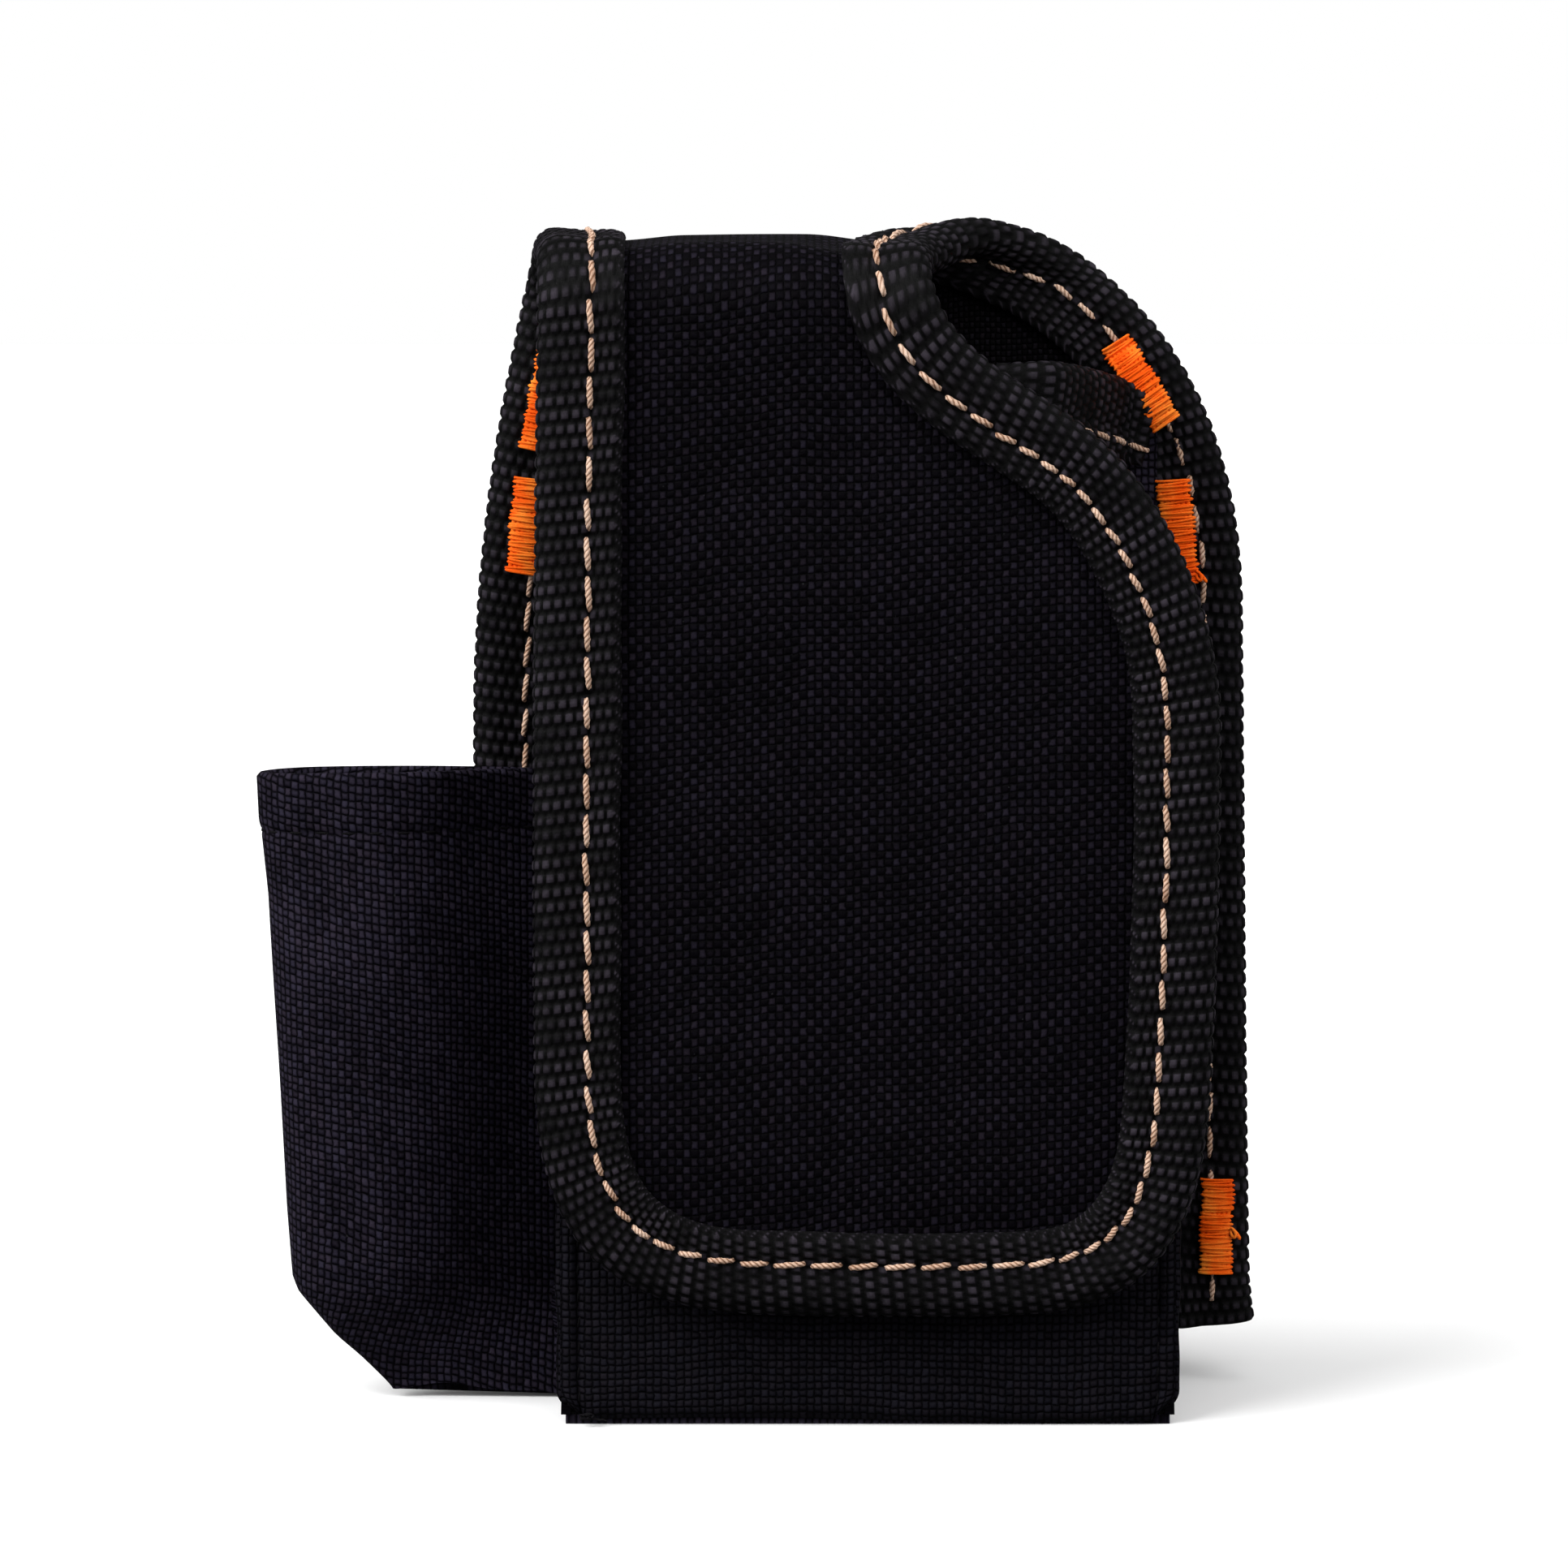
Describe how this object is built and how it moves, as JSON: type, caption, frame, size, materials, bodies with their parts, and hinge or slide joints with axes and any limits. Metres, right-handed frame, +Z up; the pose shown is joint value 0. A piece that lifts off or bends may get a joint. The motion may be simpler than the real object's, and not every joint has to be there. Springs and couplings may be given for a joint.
{
  "type": "electrician tool pouch",
  "caption": "Belt pouch with a box pocket under a long fold-over flap, an open side pocket, bound edges, and a belt tunnel behind.",
  "frame": {"origin": "middle of the pouch's outline on the surface that its base stands on", "axes": "+Z up, the flap faces -Y, the belt tunnel is behind at +Y and runs along X; the side pocket is at -X"},
  "size_m": [0.124, 0.0474, 0.1464],
  "materials": {
    "cloth": "coarse plain weave, dull with a faint sheen",
    "lining": "fine plain weave, matt",
    "foam": "matt closed-cell foam",
    "webbing": "coarse woven tape, slight sheen on the high threads",
    "thread": "heavy twisted polyester thread",
    "tack_thread": "zigzag of glossy polyester thread",
    "hook_loop": "hook and loop tape, matt"
  },
  "bodies": {
    "pouch": {"back_panel": "cloth", "back_foam": "foam", "back_lining": "lining", "back_binding_left": "webbing", "back_binding_right": "webbing", "back_thread_left": "thread", "back_thread_right": "thread", "pocket_front": "cloth", "pocket_base": "cloth", "gusset_left": "cloth", "gusset_right": "cloth", "pocket_rim": "webbing", "pocket_rim_thread": "thread", "hook_patch": "hook_loop", "side_pocket": "cloth", "belt_loop": "cloth", "belt_loop_binding_left": "webbing", "belt_loop_binding_right": "webbing", "belt_loop_thread": "thread", "bartacks_front": "tack_thread", "bartacks_rear": "tack_thread"},
    "neck": {"neck_panel": "cloth", "neck_foam": "foam", "neck_lining": "lining", "neck_binding_left": "webbing", "neck_binding_right": "webbing", "neck_thread": "thread"},
    "flap": {"flap_panel": "cloth", "flap_foam": "foam", "flap_lining": "lining", "flap_binding": "webbing", "flap_thread": "thread", "loop_patch": "hook_loop"}
  },
  "joints": [
    {"name": "neck_fold", "type": "hinge", "parent": "pouch", "child": "neck", "pos_m": [0, 0.0108, 0.142], "axis": [-1, 0, 0], "range_deg": [0, 90]},
    {"name": "flap_fold", "type": "hinge", "parent": "neck", "child": "flap", "pos_m": [0, -0.0142, 0.142], "axis": [-1, 0, 0], "range_deg": [0, 90]}
  ]
}
